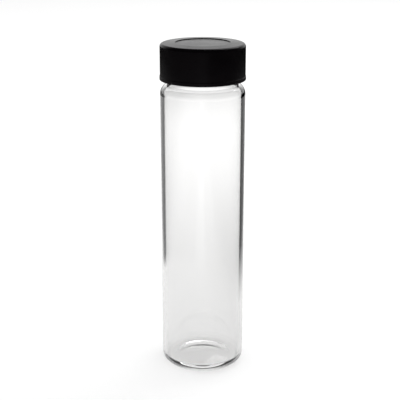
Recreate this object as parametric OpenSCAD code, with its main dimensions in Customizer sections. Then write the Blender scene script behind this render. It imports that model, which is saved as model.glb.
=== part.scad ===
// Glass sample vial with a screw cap: a blown and rolled tubing vial, its moulded cap and the
// sealing liner inside the cap. Millimetres, +Z up, origin at the middle of the base's foot plane.

/* [Vial body] */
// Outer diameter of the glass body
body_d = 25; // [18:0.5:40]
// Height of the glass, foot to lip
glass_h = 97.3; // [60:0.1:140]
// Thickness of the body wall
wall_t = 1.2; // [0.8:0.1:2]
// Thickness of the floor at its rim
floor_t = 2.4; // [1:0.1:3.5]
// Radius of the rounded heel outside
heel_r = 2.8; // [1:0.1:3.5]
// Radius of the rounded heel inside
inner_heel_r = 0.5; // [0.3:0.1:2.5]
// Width of the flat ring that the vial stands on
foot_w = 0.9; // [0.6:0.1:2.5]
// Height of the hollow under the floor
push_up_h = 0.75; // [0.1:0.05:1.2]

/* [Shoulder and neck] */
// Outer diameter of the neck, at the root of its thread
neck_d = 19.7; // [14:0.1:34]
// Thickness of the neck wall
neck_wall_t = 1.5; // [1:0.1:2.5]
// Radius of the shoulder's outward curve
shoulder_r = 3.6; // [2.5:0.1:6]
// Radius of the curve where the shoulder runs into the neck
neck_fillet_r = 1.6; // [0.6:0.1:2]
// Rounding of the lip's two edges
lip_edge_r = 0.45; // [0.2:0.05:0.6]

/* [Screw thread] */
// Rise of the thread in one turn
pitch = 3.175; // [2.5:0.025:4]
// Turns of thread on the glass
glass_turns = 1.15; // [1:0.05:1.5]
// Turns of thread in the cap
cap_turns = 1.25; // [1:0.05:1.5]
// How far the glass thread stands out of the neck
thread_depth = 0.95; // [0.7:0.05:1.2]
// Width of the glass thread at its root
thread_root_w = 2.3; // [1.8:0.05:2.4]
// Slope of the thread's flanks, from square to the axis
flank_angle = 30; // [20:1:35]
// Rounding of the thread's crest
thread_round_r = 0.3; // [0.1:0.05:0.4]
// Lip to the upper edge of the glass thread
thread_below_lip = 1.2; // [0.8:0.1:2]
// Gap between the two threads' flanks
flank_clearance = 0.12; // [0.08:0.01:0.2]
// Gap from each thread's crest to the other's root
crest_clearance = 0.25; // [0.1:0.05:0.4]

/* [Cap] */
// Height of the cap
cap_h = 10.8; // [9:0.1:16]
// How far the cap's foot comes down past the end of the straight neck
cap_past_neck = 0.25; // [-3:0.05:0.6]
// Thickness of the cap's side wall
skirt_t = 1.45; // [1.2:0.05:2.5]
// Thickness of the cap's top, outside its recess
cap_top_t = 1.55; // [1.2:0.05:2.5]
// Rounding of the cap's top edge
cap_edge_r = 0.9; // [0.3:0.05:1.2]
// Fall of the top from the recess to the edge
cap_crown_h = 0.2; // [0:0.05:0.4]
// Width of the land round the recess in the top
cap_land_w = 4.5; // [3:0.05:6]
// Depth of the recess in the top
recess_depth = 0.2; // [0.1:0.05:0.8]
// Height of the bead round the cap's foot
bead_h = 1.2; // [0.8:0.1:2]
// How far the bead stands out of the cap's side
bead_t = 0.12; // [0.05:0.01:0.3]
// Rounding of the bead's lower edge
bead_edge_r = 0.2; // [0.1:0.05:0.5]
// Bevel at the mouth of the cap
mouth_bevel = 0.5; // [0.2:0.1:0.8]

/* [Liner] */
// Thickness of the sealing liner
liner_t = 0.8; // [0.5:0.05:1.5]
// Gap round the liner in the cap
liner_gap = 0.15; // [0.05:0.05:0.3]

/* [Hidden] */
$fn = 96;

// Steps of the thread sweep in one turn, and how deep its root lies in the wall
THREAD_STEPS = 60;
thread_embed = 0.45;
// Steps of the curve between a thread's flank and its crest, and the angle that it turns
ROUND_STEPS = 2;
crest_turn = 90 - flank_angle;
// Part of a turn over which a thread rises out of its wall at each end
thread_fade = 0.1;
// Overshoot of a cutting shape, so that no two faces lie in one plane
eps = 0.01;

body_r = body_d / 2;
bore_r = body_r - wall_t;
foot_r = body_r - heel_r;
push_up_r = foot_r - foot_w;
// Radius of the shallow dome that is pushed up under the floor
dome_r = (pow(push_up_r, 2) + pow(push_up_h, 2)) / (2 * push_up_h);

neck_r = neck_d / 2;
mouth_r = neck_r - neck_wall_t;
// The straight neck is as long as the cap that goes over it needs
neck_h = cap_h - cap_top_t - liner_t - cap_past_neck;
neck_z = glass_h - neck_h;
shoulder_z = neck_z - ogee_h(body_r, neck_r, shoulder_r, neck_fillet_r);

// The thread's centre line on the glass: height of its upper end and of its lower end
thread_top_z = glass_h - thread_below_lip - thread_root_w / 2;
thread_low_z = thread_top_z - glass_turns * pitch;
thread_crest_r = neck_r + thread_depth;
thread_crest_w = thread_root_w - 2 * thread_depth * tan(flank_angle);

// The cap's thread fills the gap between the glass thread's turns, less the clearances
cap_bore_r = thread_crest_r + crest_clearance;
cap_crest_r = neck_r + crest_clearance;
cap_thread_depth = cap_bore_r - cap_crest_r;
gap_w_at_root = pitch - thread_root_w;
cap_crest_w = gap_w_at_root + 2 * crest_clearance * tan(flank_angle)
    - 2 * flank_clearance / cos(flank_angle);
cap_root_w = cap_crest_w + 2 * cap_thread_depth * tan(flank_angle);

seat_z = glass_h + liner_t;
cap_top_z = seat_z + cap_top_t;
cap_foot_z = cap_top_z - cap_h;
cap_r = cap_bore_r + skirt_t;
recess_r = cap_r - cap_land_w;
cap_round_z = cap_top_z - cap_crown_h - cap_edge_r;
liner_r = cap_bore_r - liner_gap;

// The cap's thread starts just above its mouth, at the turn where that height lies on the helix
cap_thread_low_z = cap_foot_z + mouth_bevel + cap_root_w / 2 + eps;
cap_start_turn = (cap_thread_low_z + pitch / 2 - thread_low_z) / pitch;

// Height taken by two arcs that carry an outline from radius r1 in to radius r2
function ogee_angle(r1, r2, a, b) = acos(1 - (r1 - r2) / (a + b));
function ogee_h(r1, r2, a, b) = (a + b) * sin(ogee_angle(r1, r2, a, b));

// Share of its full depth that a thread has at a given share of its length
function faded(turn, turns) = min(1, turn / thread_fade, (turns - turn) / thread_fade);

// Half of a thread's rounded crest corner: points from the flank round to the crest, each as
// distance towards the axis from the crest and distance from the middle of the crest
function crest_corner(crest_w) =
    let (middle = crest_w / 2 - thread_round_r * tan(crest_turn / 2))
    [
        for (i = [ROUND_STEPS : -1 : 0])
            let (turn = crest_turn * i / ROUND_STEPS)
            [thread_round_r * (1 - cos(turn)), middle + thread_round_r * sin(turn)]
    ];

// One cross-section of a thread, at angle a and height z. Its flanks start inside the wall.
// share is how much of its depth the thread has there; side is 1 on a neck and -1 in a bore.
function thread_ring(a, z, root_r, depth, root_w, crest_w, share, side) =
    let (
        deep_r = root_r - side * thread_embed,
        deep_w = root_w + 2 * thread_embed * tan(flank_angle),
        crest_r = root_r + side * (depth * share - thread_embed / 3 * (1 - share)),
        corner = crest_corner(crest_w),
        outline = [
            [deep_r, -deep_w / 2],
            for (p = corner) [crest_r - side * p[0], -p[1]],
            for (i = [ROUND_STEPS : -1 : 0]) [crest_r - side * corner[i][0], corner[i][1]],
            [deep_r, deep_w / 2]
        ]
    )
    [for (p = outline) [p[0] * cos(a), p[0] * sin(a), z + p[1]]];

// A helical thread: rings of points joined by quads, split into triangles, with flat ends
module thread(start_turn, start_z, turns, root_r, depth, root_w, crest_w, side) {
    steps = ceil(turns * THREAD_STEPS);
    ring_n = 2 * (ROUND_STEPS + 2);
    points = [
        for (i = [0 : steps])
            let (turn = turns * i / steps)
            each thread_ring(
                360 * (start_turn + turn), start_z + turn * pitch,
                root_r, depth, root_w, crest_w, faded(turn, turns), side
            )
    ];
    // Corners of the quad between ring i and the next, at side j of the outline
    function corner(i, j) = i * ring_n + j % ring_n;
    walls = [
        for (i = [0 : steps - 1], j = [0 : ring_n - 1], half = [0, 1])
            half == 0
                ? [corner(i, j), corner(i, j + 1), corner(i + 1, j + 1)]
                : [corner(i, j), corner(i + 1, j + 1), corner(i + 1, j)]
    ];
    near_end = [for (j = [ring_n - 1 : -1 : 0]) j];
    far_end = [for (j = [0 : ring_n - 1]) corner(steps, j)];
    faces = concat(walls, [near_end], [far_end]);
    // An inner thread's outline runs the other way round, so its faces are turned over
    polyhedron(
        points,
        side > 0 ? faces : [for (f = faces) [for (k = [len(f) - 1 : -1 : 0]) f[k]]]
    );
}

// Outline between the axis and two arcs: out-curving from radius r1, then in-curving to r2
module ogee_outline(r1, r2, a, b, z) {
    turn = ogee_angle(r1, r2, a, b);
    centre = [r1 - a, z];
    meet = centre + a * [cos(turn), sin(turn)];
    upper = centre + (a + b) * [cos(turn), sin(turn)];
    translate(centre)
        circle(a);
    difference() {
        polygon([[0, z], centre, meet, upper, [0, upper[1]]]);
        translate(upper)
            circle(b);
    }
}

// What rounding a corner takes away: the corner's square less a circle, opening to -x and -y
module corner_waste(r) {
    difference() {
        translate([-r, -r])
            square(r + eps);
        translate([-r, -r])
            circle(r);
    }
}

// Half outline of the glass as if it were solid
module glass_outline() {
    difference() {
        union() {
            square([body_r, shoulder_z]);
            ogee_outline(body_r, neck_r, shoulder_r, neck_fillet_r, shoulder_z);
            translate([0, neck_z - eps])
                square([neck_r, neck_h + eps]);
        }
        translate([body_r, 0])
            mirror([0, 1])
                corner_waste(heel_r);
        translate([neck_r, glass_h])
            corner_waste(lip_edge_r);
        translate([0, push_up_h - dome_r])
            circle(dome_r);
    }
}

// Half outline of the hollow inside the glass
module hollow_outline() {
    inner_shoulder_r = shoulder_r - wall_t;
    inner_fillet_r = neck_fillet_r + neck_wall_t;
    inner_neck_z = shoulder_z + ogee_h(bore_r, mouth_r, inner_shoulder_r, inner_fillet_r);
    difference() {
        translate([0, floor_t])
            square([bore_r, shoulder_z - floor_t]);
        translate([bore_r, floor_t])
            mirror([0, 1])
                corner_waste(inner_heel_r);
    }
    ogee_outline(bore_r, mouth_r, inner_shoulder_r, inner_fillet_r, shoulder_z);
    translate([0, inner_neck_z - eps])
        square([mouth_r, glass_h - inner_neck_z + 2 * eps]);
    translate([mouth_r, glass_h])
        mirror([1, 0])
            corner_waste(lip_edge_r);
}

module vial() {
    color("lightcyan", 0.35) {
        rotate_extrude()
            intersection() {
                difference() {
                    glass_outline();
                    hollow_outline();
                }
                square([body_r, glass_h]);
            }
        thread(
            0, thread_low_z, glass_turns, neck_r, thread_depth,
            thread_root_w, thread_crest_w, 1
        );
    }
}

// Half outline of the cap's outside
module cap_outline() {
    fall = atan(cap_crown_h / (cap_land_w - cap_edge_r));
    round_centre = [cap_r - cap_edge_r, cap_round_z];
    land_end = round_centre + cap_edge_r * [sin(fall), cos(fall)];
    bead_r = cap_r + bead_t;
    difference() {
        union() {
            translate([0, cap_foot_z])
                square([cap_r, cap_round_z - cap_foot_z]);
            translate([0, cap_foot_z])
                square([bead_r, bead_h]);
        }
        translate([bead_r, cap_foot_z + bead_h])
            corner_waste(bead_t);
        translate([bead_r, cap_foot_z])
            mirror([0, 1])
                corner_waste(bead_edge_r);
    }
    polygon([[0, cap_round_z], round_centre, land_end, [recess_r, cap_top_z], [0, cap_top_z]]);
    translate(round_centre)
        circle(cap_edge_r);
}

module cap() {
    color("#141416") {
        rotate_extrude()
            difference() {
                cap_outline();
                translate([0, cap_top_z - recess_depth])
                    square([recess_r, recess_depth + eps]);
                translate([0, cap_foot_z - eps])
                    square([cap_bore_r, seat_z - cap_foot_z + eps]);
                polygon([
                    [cap_bore_r - eps, cap_foot_z + mouth_bevel + eps],
                    [cap_bore_r + mouth_bevel + eps, cap_foot_z - eps],
                    [cap_bore_r - eps, cap_foot_z - eps]
                ]);
            }
        thread(
            cap_start_turn, cap_thread_low_z, cap_turns, cap_bore_r, cap_thread_depth,
            cap_root_w, cap_crest_w, -1
        );
    }
}

module liner() {
    color("white")
        translate([0, 0, glass_h])
            cylinder(r = liner_r, h = liner_t);
}

vial();
cap();
liner();
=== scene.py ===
"""A glass sample vial with a black screw cap, on a white table."""
import math

import bpy
import numpy as np
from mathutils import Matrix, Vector


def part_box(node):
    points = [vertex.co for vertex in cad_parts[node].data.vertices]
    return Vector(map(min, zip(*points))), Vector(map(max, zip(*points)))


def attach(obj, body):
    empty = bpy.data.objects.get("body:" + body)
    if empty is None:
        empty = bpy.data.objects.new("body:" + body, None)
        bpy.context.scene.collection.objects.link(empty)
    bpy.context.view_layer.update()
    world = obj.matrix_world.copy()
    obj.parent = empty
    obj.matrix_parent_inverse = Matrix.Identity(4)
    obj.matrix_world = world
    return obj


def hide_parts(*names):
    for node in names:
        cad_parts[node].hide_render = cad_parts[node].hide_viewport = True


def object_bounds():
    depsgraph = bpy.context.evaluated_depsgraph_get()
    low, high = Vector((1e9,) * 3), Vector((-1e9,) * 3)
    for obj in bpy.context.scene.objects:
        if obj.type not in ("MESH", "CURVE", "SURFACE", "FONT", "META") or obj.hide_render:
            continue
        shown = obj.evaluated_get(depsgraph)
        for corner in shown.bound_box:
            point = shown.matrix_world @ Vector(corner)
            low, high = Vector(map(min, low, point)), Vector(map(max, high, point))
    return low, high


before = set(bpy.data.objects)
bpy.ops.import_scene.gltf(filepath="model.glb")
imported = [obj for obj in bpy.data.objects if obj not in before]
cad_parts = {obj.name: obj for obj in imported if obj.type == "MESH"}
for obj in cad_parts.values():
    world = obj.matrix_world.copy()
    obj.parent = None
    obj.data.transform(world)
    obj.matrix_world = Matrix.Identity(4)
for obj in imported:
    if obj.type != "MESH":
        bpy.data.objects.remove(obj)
cad_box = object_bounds()

MM = 0.001
SEGMENTS = 256          # steps of a revolve round the axis
ARC_STEP = math.radians(4)              # turn between two points of an arc
SHARP = math.radians(35)                # folds steeper than this stay sharp
EDGE_ROW = 0.03 * MM    # a row this near each end of a straight wall keeps its shading straight


# ---------------------------------------------------------------- sizes, in metres
VIAL_LOW, VIAL_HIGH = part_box("vial")
CAP_LOW, CAP_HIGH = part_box("cap")
LINER_LOW, LINER_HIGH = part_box("liner")

BODY_R = VIAL_HIGH.x
GLASS_H = VIAL_HIGH.z
WALL = 1.2 * MM
NECK_WALL = 1.5 * MM
FLOOR = 2.4 * MM
HEEL_R = 2.8 * MM
INNER_HEEL_R = 0.5 * MM
FOOT_W = 0.9 * MM
PUSH_UP = 0.75 * MM
NECK_R = 9.85 * MM
NECK_H = 8.2 * MM
SHOULDER_R = 3.6 * MM
NECK_FILLET_R = 1.6 * MM
LIP_R = 0.45 * MM

PITCH = 3.175 * MM
THREAD_DEPTH = 0.95 * MM
THREAD_ROOT_W = 2.3 * MM
FLANK = math.radians(30)
GLASS_TURNS = 1.15
CAP_TURNS = 1.25
LIP_TO_THREAD = 1.2 * MM
THREAD_FADE = 0.1       # share of a turn over which a thread's end dies away
FLANK_CLEARANCE = 0.12 * MM
CREST_CLEARANCE = 0.25 * MM
THREAD_ROW = 0.09 * MM  # height between the mesh rows that carry a thread
THREAD_TO_BEVEL = 0.01 * MM
ON_WALL = 1e-6          # a point this near a wall's radius belongs to it

CAP_BORE_R = NECK_R + THREAD_DEPTH + CREST_CLEARANCE
SKIRT_T = 1.45 * MM
CAP_R = CAP_BORE_R + SKIRT_T
CAP_EDGE_R = 0.9 * MM
CAP_CROWN = 0.2 * MM
CAP_LAND_W = 4.5 * MM
RECESS_R = CAP_R - CAP_LAND_W
RECESS_DEPTH = 0.2 * MM
RECESS_EDGE_R = 0.06 * MM
BEAD_T = 0.12 * MM
BEAD_H = 1.2 * MM
FOOT_EDGE_R = 0.2 * MM
MOUTH_BEVEL = 0.5 * MM
LINER_R = LINER_HIGH.x
LINER_EDGE_R = 0.12 * MM
DOME_STEPS = 24         # steps of the pushed-up base

GLASS_SHADE = 0.8       # how much of a lamp's light each face of the glass lets through


# ---------------------------------------------------------------- outlines and meshes
def arc(centre, radius, start, end, least=3):
    """Points of an arc from angle start to angle end, in degrees, both included."""
    start, end = math.radians(start), math.radians(end)
    steps = max(least, math.ceil(abs(end - start) / ARC_STEP))
    angles = [start + (end - start) * i / steps for i in range(steps + 1)]
    return [(centre[0] + radius * math.cos(a), centre[1] + radius * math.sin(a)) for a in angles]


def straight(start, end, step=4 * MM):
    """Points along a straight line, with one close to each end and the rest a step apart."""
    length = math.dist(start, end)
    steps = max(1, round(length / step))
    along = sorted({0.0, EDGE_ROW / length, 1 - EDGE_ROW / length, 1.0} | {i / steps for i in range(steps)})
    return [tuple(a + (b - a) * t for a, b in zip(start, end)) for t in along]


def wall(r, low, high, step=4 * MM):
    """Points up or down a straight wall at radius r."""
    return straight((r, low), (r, high), step)


def without_doubles(points, least=1e-7):
    kept = [points[0]]
    for p in points[1:]:
        if math.dist(p, kept[-1]) > least:
            kept.append(p)
    return kept


def revolve(name, outline, shift=None):
    """Turns an outline of (radius, height) round Z. It starts and ends on the axis. shift, if given,
    maps arrays of angle, radius and height to the radius that each point gets."""
    outline = np.array(without_doubles(outline))
    inner = outline[1:-1]
    angles = np.linspace(0, 2 * math.pi, SEGMENTS, endpoint=False)
    angle, row = np.meshgrid(angles, np.arange(len(inner)), indexing="xy")
    radius, height = inner[row, 0], inner[row, 1]
    if shift is not None:
        radius = shift(angle, radius, height)
    points = np.stack([radius * np.cos(angle), radius * np.sin(angle), height], axis=-1).reshape(-1, 3)
    first, last = len(points), len(points) + 1
    points = np.vstack([points, [(0, 0, outline[0, 1]), (0, 0, outline[-1, 1])]])
    faces = []
    top = (len(inner) - 1) * SEGMENTS
    for s in range(SEGMENTS):
        n = (s + 1) % SEGMENTS
        faces.append((first, n, s))
        faces.append((last, top + s, top + n))
    for r in range(len(inner) - 1):
        low, high = r * SEGMENTS, (r + 1) * SEGMENTS
        for s in range(SEGMENTS):
            n = (s + 1) % SEGMENTS
            faces.append((low + s, low + n, high + n, high + s))
    mesh = bpy.data.meshes.new(name)
    mesh.from_pydata(points.tolist(), [], faces)
    mesh.polygons.foreach_set("use_smooth", np.ones(len(mesh.polygons), bool))
    mesh.set_sharp_from_angle(angle=SHARP)
    mesh.update()
    piece = bpy.data.objects.new(name, mesh)
    bpy.context.scene.collection.objects.link(piece)
    return piece


def ogee(r1, r2, out_r, in_r, z):
    """A shoulder from radius r1 at height z, curving in and then up to radius r2."""
    turn = math.degrees(math.acos(1 - (r1 - r2) / (out_r + in_r)))
    centre = (r1 - out_r, z)
    reach = out_r + in_r
    upper = (centre[0] + reach * math.cos(math.radians(turn)), z + reach * math.sin(math.radians(turn)))
    return arc(centre, out_r, 0, turn) + arc(upper, in_r, 180 + turn, 180)


def ogee_height(r1, r2, out_r, in_r):
    turn = math.acos(1 - (r1 - r2) / (out_r + in_r))
    return (out_r + in_r) * math.sin(turn)


NECK_Z = GLASS_H - NECK_H
SHOULDER_Z = NECK_Z - ogee_height(BODY_R, NECK_R, SHOULDER_R, NECK_FILLET_R)
THREAD_TOP_Z = GLASS_H - LIP_TO_THREAD - THREAD_ROOT_W / 2
THREAD_LOW_Z = THREAD_TOP_Z - GLASS_TURNS * PITCH
CREST_W = THREAD_ROOT_W - 2 * THREAD_DEPTH * math.tan(FLANK)
CAP_THREAD_DEPTH = THREAD_DEPTH
CAP_CREST_W = (
    PITCH - THREAD_ROOT_W + 2 * CREST_CLEARANCE * math.tan(FLANK) - 2 * FLANK_CLEARANCE / math.cos(FLANK)
)
CAP_ROOT_W = CAP_CREST_W + 2 * CAP_THREAD_DEPTH * math.tan(FLANK)
CAP_THREAD_LOW_Z = CAP_LOW.z + MOUTH_BEVEL + CAP_ROOT_W / 2 + THREAD_TO_BEVEL
CAP_START_TURN = (CAP_THREAD_LOW_Z + PITCH / 2 - THREAD_LOW_Z) / PITCH


def smooth(x):
    x = np.clip(x, 0, 1)
    return x * x * (3 - 2 * x)


def thread_height(angle, height, start_turn, start_z, turns, root_w, crest_w):
    """How much of its depth a thread has at each angle and height, from 0 to 1."""
    share = np.zeros_like(angle)
    for k in range(-2, 4):
        turn = angle / (2 * math.pi) + k - start_turn
        away = np.abs(height - (start_z + turn * PITCH))
        flank = smooth((root_w / 2 - away) / ((root_w - crest_w) / 2))
        ends = smooth(np.minimum(turn, turns - turn) / THREAD_FADE)
        share = np.maximum(share, flank * ends)
    return share


def glass_thread(angle, radius, height):
    on_neck = np.abs(radius - NECK_R) < ON_WALL
    share = thread_height(angle, height, 0, THREAD_LOW_Z, GLASS_TURNS, THREAD_ROOT_W, CREST_W)
    return radius + on_neck * share * THREAD_DEPTH


def cap_thread(angle, radius, height):
    in_bore = np.abs(radius - CAP_BORE_R) < ON_WALL
    share = thread_height(
        angle, height, CAP_START_TURN, CAP_THREAD_LOW_Z, CAP_TURNS, CAP_ROOT_W, CAP_CREST_W
    )
    return radius - in_bore * share * CAP_THREAD_DEPTH


def glass_outline():
    foot_r = BODY_R - HEEL_R
    push_r = foot_r - FOOT_W
    dome_r = (push_r**2 + PUSH_UP**2) / (2 * PUSH_UP)
    half = math.degrees(math.asin(push_r / dome_r))
    underside = arc((0, PUSH_UP - dome_r), dome_r, 90, 90 - half, DOME_STEPS)
    bore_r, mouth_r = BODY_R - WALL, NECK_R - NECK_WALL
    in_out_r, in_in_r = SHOULDER_R - WALL, NECK_FILLET_R + NECK_WALL
    inside_shoulder = ogee(bore_r, mouth_r, in_out_r, in_in_r, SHOULDER_Z)
    floor_r = bore_r - INNER_HEEL_R
    return (
        underside
        + straight((push_r, 0), (foot_r, 0))
        + arc((foot_r, HEEL_R), HEEL_R, -90, 0)
        + wall(BODY_R, HEEL_R, SHOULDER_Z)
        + ogee(BODY_R, NECK_R, SHOULDER_R, NECK_FILLET_R, SHOULDER_Z)
        + wall(NECK_R, NECK_Z, GLASS_H - LIP_R, THREAD_ROW)
        + arc((NECK_R - LIP_R, GLASS_H - LIP_R), LIP_R, 0, 90)
        + arc((mouth_r + LIP_R, GLASS_H - LIP_R), LIP_R, 90, 180)
        + inside_shoulder[::-1]
        + wall(bore_r, SHOULDER_Z, FLOOR + INNER_HEEL_R)
        + arc((floor_r, FLOOR + INNER_HEEL_R), INNER_HEEL_R, 0, -90)
        + straight((floor_r, FLOOR), (0, FLOOR))
    )


def cap_outline():
    top, foot, seat = CAP_HIGH.z, CAP_LOW.z, LINER_HIGH.z
    e = RECESS_EDGE_R
    fall = math.degrees(math.atan(CAP_CROWN / (CAP_R - RECESS_R - CAP_EDGE_R)))
    round_z = top - CAP_CROWN - CAP_EDGE_R
    recess_z = top - RECESS_DEPTH
    land = arc((RECESS_R + e, top - e), e, 180, 90 - fall)
    corner = arc((CAP_R - CAP_EDGE_R, round_z), CAP_EDGE_R, 90 - fall, 0)
    bead_r = CAP_R + BEAD_T
    bead = arc((bead_r - BEAD_T, foot + BEAD_H - BEAD_T), BEAD_T, 90, 0)
    f = FOOT_EDGE_R
    return (
        straight((0, recess_z), (RECESS_R - e, recess_z))
        + arc((RECESS_R - e, recess_z + e), e, -90, 0)
        + straight((RECESS_R, recess_z + e), (RECESS_R, top - e))
        + land
        + straight(land[-1], corner[0])
        + corner
        + wall(CAP_R, round_z, foot + BEAD_H)
        + bead
        + wall(bead_r, foot + BEAD_H - BEAD_T, foot + f)
        + arc((bead_r - f, foot + f), f, 0, -90)
        + straight((bead_r - f, foot), (CAP_BORE_R + MOUTH_BEVEL, foot))
        + straight((CAP_BORE_R + MOUTH_BEVEL, foot), (CAP_BORE_R, foot + MOUTH_BEVEL))
        + wall(CAP_BORE_R, foot + MOUTH_BEVEL, seat, THREAD_ROW)
        + straight((CAP_BORE_R, seat), (0, seat))
    )[::-1]


def liner_outline():
    low, high = LINER_LOW.z, LINER_HIGH.z
    e = LINER_EDGE_R
    return (
        [(0, low), (LINER_R * 0.5, low)]
        + arc((LINER_R - e, low + e), e, -90, 0)
        + arc((LINER_R - e, high - e), e, 0, 90)
        + [(LINER_R * 0.5, high), (0, high)]
    )


# ---------------------------------------------------------------- materials
def material(name):
    made = bpy.data.materials.new(name)
    made.use_nodes = True
    nodes, links = made.node_tree.nodes, made.node_tree.links
    nodes.clear()
    out = nodes.new("ShaderNodeOutputMaterial")
    return made, nodes, links, out


def noise(nodes, links, scale, detail=2.0, stretch=(1, 1, 1)):
    """Noise in the piece's own metres: scale is waves in a metre, stretch makes it finer on an axis."""
    place = nodes.new("ShaderNodeTexCoord")
    sized = nodes.new("ShaderNodeMapping")
    sized.inputs["Scale"].default_value = stretch
    made = nodes.new("ShaderNodeTexNoise")
    made.inputs["Scale"].default_value = scale
    made.inputs["Detail"].default_value = detail
    links.new(place.outputs["Object"], sized.inputs["Vector"])
    links.new(sized.outputs["Vector"], made.inputs["Vector"])
    return made.outputs["Fac"]


def spread(nodes, links, value, low, high):
    """Carries the middle of a noise's range to a span of numbers."""
    made = nodes.new("ShaderNodeMapRange")
    for name, number in (("From Min", 0.3), ("From Max", 0.7), ("To Min", low), ("To Max", high)):
        made.inputs[name].default_value = number
    links.new(value, made.inputs["Value"])
    return made.outputs["Result"]


def two_tones(nodes, links, value, first, second):
    made = nodes.new("ShaderNodeMix")
    made.data_type = "RGBA"
    made.inputs["A"].default_value = first + (1,)
    made.inputs["B"].default_value = second + (1,)
    links.new(spread(nodes, links, value, 0, 1), made.inputs["Factor"])
    return made.outputs["Result"]


def bump(nodes, links, value, strength, depth):
    made = nodes.new("ShaderNodeBump")
    made.inputs["Strength"].default_value = strength
    made.inputs["Distance"].default_value = depth
    links.new(value, made.inputs["Height"])
    return made.outputs["Normal"]


def glass_material():
    """Clear drawn tubing with faint lines along its length. Lamps shine through it, because its
    soft shadow can't come from sampled light."""
    made, nodes, links, out = material("clear_glass")
    shader = nodes.new("ShaderNodeBsdfPrincipled")
    streaks = noise(nodes, links, 500, 2, (1, 1, 0.04))
    tint = two_tones(nodes, links, streaks, (0.997, 0.996, 0.994), (0.993, 0.992, 0.989))
    links.new(tint, shader.inputs["Base Color"])
    links.new(bump(nodes, links, streaks, 0.3, 0.004 * MM), shader.inputs["Normal"])
    shader.inputs["Roughness"].default_value = 0.0
    shader.inputs["IOR"].default_value = 1.5
    shader.inputs["Transmission Weight"].default_value = 1.0
    clear = nodes.new("ShaderNodeBsdfTransparent")
    clear.inputs["Color"].default_value = (GLASS_SHADE,) * 3 + (1,)
    path = nodes.new("ShaderNodeLightPath")
    mix = nodes.new("ShaderNodeMixShader")
    links.new(path.outputs["Is Shadow Ray"], mix.inputs[0])
    links.new(shader.outputs[0], mix.inputs[1])
    links.new(clear.outputs[0], mix.inputs[2])
    links.new(mix.outputs[0], out.inputs["Surface"])
    return made


def cap_material():
    """Black moulding plastic: a satin skin with a fine grain, a little uneven from place to place."""
    made, nodes, links, out = material("black_plastic")
    shader = nodes.new("ShaderNodeBsdfPrincipled")
    cloudy = noise(nodes, links, 160, 2)
    grain = noise(nodes, links, 2600, 3)
    tone = two_tones(nodes, links, cloudy, (0.0008, 0.0004, 0.0007), (0.0014, 0.0008, 0.0012))
    links.new(tone, shader.inputs["Base Color"])
    rough = nodes.new("ShaderNodeMath")
    rough.operation = "ADD"
    links.new(spread(nodes, links, cloudy, 0.21, 0.25), rough.inputs[0])
    links.new(spread(nodes, links, grain, -0.015, 0.015), rough.inputs[1])
    links.new(rough.outputs[0], shader.inputs["Roughness"])
    links.new(bump(nodes, links, grain, 0.25, 0.006 * MM), shader.inputs["Normal"])
    shader.inputs["IOR"].default_value = 1.45
    shader.inputs["Specular IOR Level"].default_value = 0.15
    shader.inputs["Specular Tint"].default_value = (1.0, 0.96, 1.0, 1)
    links.new(shader.outputs[0], out.inputs["Surface"])
    return made


def liner_material():
    """White foam: closed cells a fraction of a millimetre wide under a matt skin."""
    made, nodes, links, out = material("white_foam")
    shader = nodes.new("ShaderNodeBsdfPrincipled")
    place = nodes.new("ShaderNodeTexCoord")
    cells = nodes.new("ShaderNodeTexVoronoi")
    cells.inputs["Scale"].default_value = 3500
    links.new(place.outputs["Object"], cells.inputs["Vector"])
    soft = noise(nodes, links, 300, 2)
    tone = two_tones(nodes, links, soft, (0.8, 0.8, 0.78), (0.74, 0.74, 0.72))
    links.new(tone, shader.inputs["Base Color"])
    links.new(spread(nodes, links, soft, 0.65, 0.8), shader.inputs["Roughness"])
    links.new(bump(nodes, links, cells.outputs["Distance"], 0.4, 0.03 * MM), shader.inputs["Normal"])
    links.new(shader.outputs[0], out.inputs["Surface"])
    return made


def put_on(piece, made):
    piece.data.materials.clear()
    piece.data.materials.append(made)


# ---------------------------------------------------------------- pieces
vial = revolve("vial_glass", glass_outline(), glass_thread)
put_on(vial, glass_material())
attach(vial, "vial")
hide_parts("vial")

cap = revolve("screw_cap", cap_outline(), cap_thread)
put_on(cap, cap_material())
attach(cap, "cap")
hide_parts("cap")

liner = revolve("seal_liner", liner_outline())
put_on(liner, liner_material())
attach(liner, "liner")
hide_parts("liner")


# ---------------------------------------------------------------- floor, light, camera
HEIGHT = cad_box[1][2] - cad_box[0][2]
TABLE_R = 3.0           # beyond it the white world goes on
TABLE_GAP = 0.05 * MM                   # the table's own roughness keeps it this far from the foot
TABLE_COLOUR = 0.8
TABLE_FILL = 0.2        # brings the seen table from its own colour up to white
DOME = 0.88             # light from all round; the key lamp adds the rest
TABLE_STEPS = 64        # sides of the round table
TONE_SPREAD = 0.01

# Painted shade and painted reflections: where mirrored and refracted rays find the table darkened,
# though no light is changed there. A pair is the distances, in metres, where a change starts and ends;
# a pair with two more numbers gives the strength at each of them too.
SHEET_MIDDLE = (-0.015, -0.01, 0)
LEFT_END, RIGHT_END = (0.08, 0.1), (0.05, 0.13)     # the glass's edge lines, a painted reflection: white up to here
LEFT_DARK = (-0.01, 0.01, 0.92, 0)      # and painted this dark beyond, on the left
RIGHT_DARK = (-0.01, 0.01, 0, 1.0)      # and on the right
SHEET_SIDE = (0.015, 0.04)              # but not near the middle line
OUTER_END = (0.4, 0.46)                 # outer surfaces mirror a table painted dark beyond this
LEFT_CARD_REFLECTION = (-0.1, -0.06, 0.3, 0)       # and a painted reflection of a grey card out at each side
RIGHT_CARD_REFLECTION = (0.06, 0.1, 0, 0.5)
RIGHT_SHADE = (0.0, 0.02, 0, 0.09)      # through the glass, painted shade makes the table greyer to the right
RIGHT_SHADE_END = (0.12, 0.25, 1, 0)
LEFT_SHADE = (-0.05, -0.012, 0.09, 0)   # and to the left
LEFT_SHADE_START = (0.1, 0.2)
NEAR_SHADE = (0.07, 0.22, 0.05, 0)      # and near the vial
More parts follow.
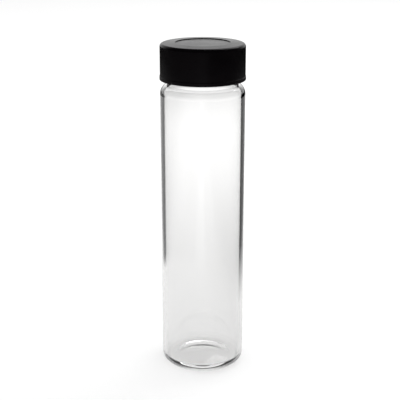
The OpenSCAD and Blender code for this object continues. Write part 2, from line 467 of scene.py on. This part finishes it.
FAR_SHADE = (0.3, 0.5, 0, 0.22)         # and far from it
NEAR_UNFILLED = (0.03, 0.33, 1, 0)      # through the glass, the fill comes in over this distance: painted shade near the vial
FOOT_UNFILLED = (0.0115, 0.014, 0.6, 1)     # but some of it is there under the foot: painted light there

# The same painted reflections for the world, over the parts of a direction: dark to the sides inside the
# glass's walls, dark above and in front on outer surfaces.
WORLD_LEFT = (-0.5, -0.15, 0.83, 0)
WORLD_RIGHT = (0.12, 0.45, 0, 0.92)
WORLD_HIGH, WORLD_HIGH_DARK = (0.3, 0.7), 0.9
WORLD_FRONT, WORLD_FRONT_DARK = (0.3, 0.85, 1, 0), 0.95

KEY_PLACE, KEY_TARGET = (0.35, 0.45, 0.75), (0, 0, 0.04)
KEY_SIZE = (0.6, 0.6)
KEY_WATTS = 2.8
EYE = (-0.0008, -2.925 * HEIGHT, 1.4395 * HEIGHT)
EYE_DOWN = 17.434       # degrees below the level
LENS = 90.87            # millimetres, as is the sensor
SENSOR = 36


class Maths:
    """Short names for number nodes in one node tree."""

    def __init__(self, nodes, links):
        self.nodes, self.links = nodes, links
        self.path = nodes.new("ShaderNodeLightPath").outputs

    def __call__(self, operation, *values):
        node = self.nodes.new("ShaderNodeMath")
        node.operation = operation
        for socket, value in zip(node.inputs, values):
            if isinstance(value, (int, float)):
                socket.default_value = value
            else:
                self.links.new(value, socket)
        return node.outputs[0]

    def ramp(self, value, low, high, to_low=0.0, to_high=1.0):
        node = self.nodes.new("ShaderNodeMapRange")
        node.interpolation_type = "SMOOTHSTEP"
        self.links.new(value, node.inputs["Value"])
        for name, number in (("From Min", low), ("From Max", high), ("To Min", to_low), ("To Max", to_high)):
            node.inputs[name].default_value = number
        return node.outputs["Result"]

    def seen(self):
        """1 for what the camera sees, directly, mirrored or through glass; 0 for rays that carry light."""
        kinds = [self.path[f"Is {kind} Ray"] for kind in ("Camera", "Glossy", "Transmission")]
        kind = self("MAXIMUM", kinds[0], self("MAXIMUM", kinds[1], kinds[2]))
        return self("MULTIPLY", kind, self("LESS_THAN", self.path["Diffuse Depth"], 0.5))

    def mirrored(self):
        return self("GREATER_THAN", self.path["Glossy Depth"], 0.5)

    def off_a_surface(self):
        """1 for rays mirrored on an outer surface."""
        return self("MULTIPLY", self.mirrored(), self("LESS_THAN", self.path["Transmission Depth"], 0.5))

    def inside_a_wall(self):
        """1 for rays mirrored once inside the glass they came in by, as near the vial's outline."""
        depth = self.path["Transmission Depth"]
        once = self("MULTIPLY", self("GREATER_THAN", depth, 0.5), self("LESS_THAN", depth, 2.5))
        return self("MULTIPLY", self.mirrored(), once)


def length_of(nodes, links, vector):
    node = nodes.new("ShaderNodeVectorMath")
    node.operation = "LENGTH"
    links.new(vector, node.inputs[0])
    return node.outputs["Value"]


def x_of(nodes, links, vector):
    node = nodes.new("ShaderNodeSeparateXYZ")
    links.new(vector, node.inputs[0])
    return node.outputs["X"]


def painted_table_shade(nodes, links, m, place, sheet_place):
    """Painted shade and painted reflections on the table, from 0 to 1, for each kind of seen ray: the
    glass's dark edge lines, a dark table and grey cards mirrored by outer surfaces, and greyer tones seen
    through the glass. Light itself isn't changed by it.
    """
    distance = length_of(nodes, links, sheet_place)
    sheet_x = x_of(nodes, links, sheet_place)
    x = x_of(nodes, links, place)
    through = m.path["Is Transmission Ray"]
    on_left = m("MULTIPLY", m.ramp(distance, *LEFT_END), m.ramp(sheet_x, *LEFT_DARK))
    on_right = m("MULTIPLY", m.ramp(distance, *RIGHT_END), m.ramp(sheet_x, *RIGHT_DARK))
    edge = m("MULTIPLY", m("ADD", on_left, on_right), m.ramp(m("ABSOLUTE", sheet_x), *SHEET_SIDE))
    edge = m("MULTIPLY", edge, m.inside_a_wall())
    # painted reflection of grey cards at the sides, where there are none
    painted_card_reflection = m("MAXIMUM", m.ramp(x, *LEFT_CARD_REFLECTION), m.ramp(x, *RIGHT_CARD_REFLECTION))
    outer = m("MULTIPLY", m("MAXIMUM", m.ramp(distance, *OUTER_END), painted_card_reflection), m.off_a_surface())
    right = m("MULTIPLY", m.ramp(x, *RIGHT_SHADE), m.ramp(distance, *RIGHT_SHADE_END))
    left = m("MULTIPLY", m.ramp(x, *LEFT_SHADE), m.ramp(distance, *LEFT_SHADE_START))
    near = m("ADD", m("ADD", right, left), m.ramp(distance, *NEAR_SHADE))
    shade = m("ADD", m("MULTIPLY", near, through), m("MULTIPLY", m.ramp(distance, *FAR_SHADE), through))
    return m("MULTIPLY", m("MAXIMUM", m("MAXIMUM", edge, shade), outer), m.seen())


def floor_material():
    """A matt pale sheet. Seen by the camera, mirrored or through glass, it is filled up to white, and
    painted shade and painted reflections darken it.
    """
    made, nodes, links, out = material("white_table")
    m = Maths(nodes, links)
    place = nodes.new("ShaderNodeTexCoord").outputs["Object"]
    shift = nodes.new("ShaderNodeVectorMath")
    shift.operation = "SUBTRACT"
    links.new(place, shift.inputs[0])
    shift.inputs[1].default_value = SHEET_MIDDLE
    sheet = nodes.new("ShaderNodeBsdfPrincipled")
    grain = noise(nodes, links, 900, 3)
    low, high = (TABLE_COLOUR - TONE_SPREAD,) * 3, (TABLE_COLOUR + TONE_SPREAD,) * 3
    links.new(two_tones(nodes, links, grain, low, high), sheet.inputs["Base Color"])
    links.new(spread(nodes, links, grain, 0.1, 0.14), sheet.inputs["Roughness"])
    links.new(bump(nodes, links, grain, 0.1, 0.01 * MM), sheet.inputs["Normal"])
    sheet.inputs["IOR"].default_value = 1.4
    sheet.inputs["Specular IOR Level"].default_value = 0.0
    distance = length_of(nodes, links, shift.outputs[0])
    from_axis = length_of(nodes, links, place)
    # Seen through the glass, the fill is cut near the vial, less so under the foot: painted shade.
    unfilled = m("MULTIPLY", m.ramp(distance, *NEAR_UNFILLED), m.ramp(from_axis, *FOOT_UNFILLED))
    unfilled = m("MULTIPLY", m.path["Is Transmission Ray"], unfilled)
    fill = m("MULTIPLY", m("SUBTRACT", 1, unfilled), TABLE_FILL)
    glow = nodes.new("ShaderNodeEmission")
    links.new(m("MULTIPLY", fill, m.seen()), glow.inputs["Strength"])
    lit = nodes.new("ShaderNodeAddShader")
    links.new(sheet.outputs[0], lit.inputs[0])
    links.new(glow.outputs[0], lit.inputs[1])
    # Black, mixed in by the painted shade and painted reflections.
    dark = nodes.new("ShaderNodeEmission")
    dark.inputs["Strength"].default_value = 0
    mix = nodes.new("ShaderNodeMixShader")
    links.new(painted_table_shade(nodes, links, m, place, shift.outputs[0]), mix.inputs[0])
    links.new(lit.outputs[0], mix.inputs[1])
    links.new(dark.outputs[0], mix.inputs[2])
    links.new(mix.outputs[0], out.inputs["Surface"])
    return made


def add_floor():
    angles = np.linspace(0, 2 * math.pi, TABLE_STEPS, endpoint=False)
    ring = [(TABLE_R * math.cos(a), TABLE_R * math.sin(a), -TABLE_GAP) for a in angles]
    mesh = bpy.data.meshes.new("table")
    mesh.from_pydata(ring, [], [tuple(range(TABLE_STEPS))])
    table = bpy.data.objects.new("table", mesh)
    bpy.context.scene.collection.objects.link(table)
    put_on(table, floor_material())


def area_light(name, place, target, size, watts):
    light = bpy.data.lights.new(name, "AREA")
    light.shape = "RECTANGLE"
    light.size, light.size_y = size
    light.energy = watts
    lamp = bpy.data.objects.new(name, light)
    lamp.location = place
    lamp.rotation_euler = (Vector(target) - Vector(place)).to_track_quat("-Z", "Y").to_euler()
    bpy.context.scene.collection.objects.link(lamp)
    return lamp


def set_world():
    """Even light from all round. What is seen of it is white, but for painted reflections: dark sides in
    the glass's edge lines, and dark above and in front on outer surfaces.
    """
    world = bpy.data.worlds.new("studio")
    bpy.context.scene.world = world
    world.use_nodes = True
    nodes, links = world.node_tree.nodes, world.node_tree.links
    nodes.clear()
    out = nodes.new("ShaderNodeOutputWorld")
    m = Maths(nodes, links)
    back = nodes.new("ShaderNodeBackground")
    back.inputs["Color"].default_value = (1, 1, 1, 1)
    place = nodes.new("ShaderNodeTexCoord")
    split = nodes.new("ShaderNodeSeparateXYZ")
    links.new(place.outputs["Generated"], split.inputs[0])
    # Painted reflections: dark to the sides inside the glass's walls, dark above and in front on outer
    # surfaces.
    left = m.ramp(split.outputs["X"], *WORLD_LEFT)
    right = m.ramp(split.outputs["X"], *WORLD_RIGHT)
    edge = m("MULTIPLY", m.inside_a_wall(), m("MAXIMUM", left, right))
    high = m("MULTIPLY", m.ramp(split.outputs["Z"], *WORLD_HIGH), WORLD_HIGH_DARK)
    front = m("MULTIPLY", m.ramp(split.outputs["Y"], *WORLD_FRONT), WORLD_FRONT_DARK)
    off = m("MULTIPLY", m.off_a_surface(), m("MAXIMUM", high, front))
    white = m("SUBTRACT", 1, m("MAXIMUM", edge, off))
    links.new(m("ADD", m("MULTIPLY", m.seen(), m("SUBTRACT", white, DOME)), DOME), back.inputs["Strength"])
    links.new(back.outputs[0], out.inputs["Surface"])


def set_camera():
    camera = bpy.data.cameras.new("camera")
    camera.lens = LENS
    camera.sensor_width = SENSOR
    camera.clip_start = 0.01
    eye = bpy.data.objects.new("camera", camera)
    eye.location = EYE
    eye.rotation_euler = (math.radians(90 - EYE_DOWN), 0, 0)
    bpy.context.scene.collection.objects.link(eye)
    bpy.context.scene.camera = eye


add_floor()
area_light("key", KEY_PLACE, KEY_TARGET, KEY_SIZE, KEY_WATTS)
set_world()
set_camera()
bpy.context.scene.view_settings.view_transform = "Standard"
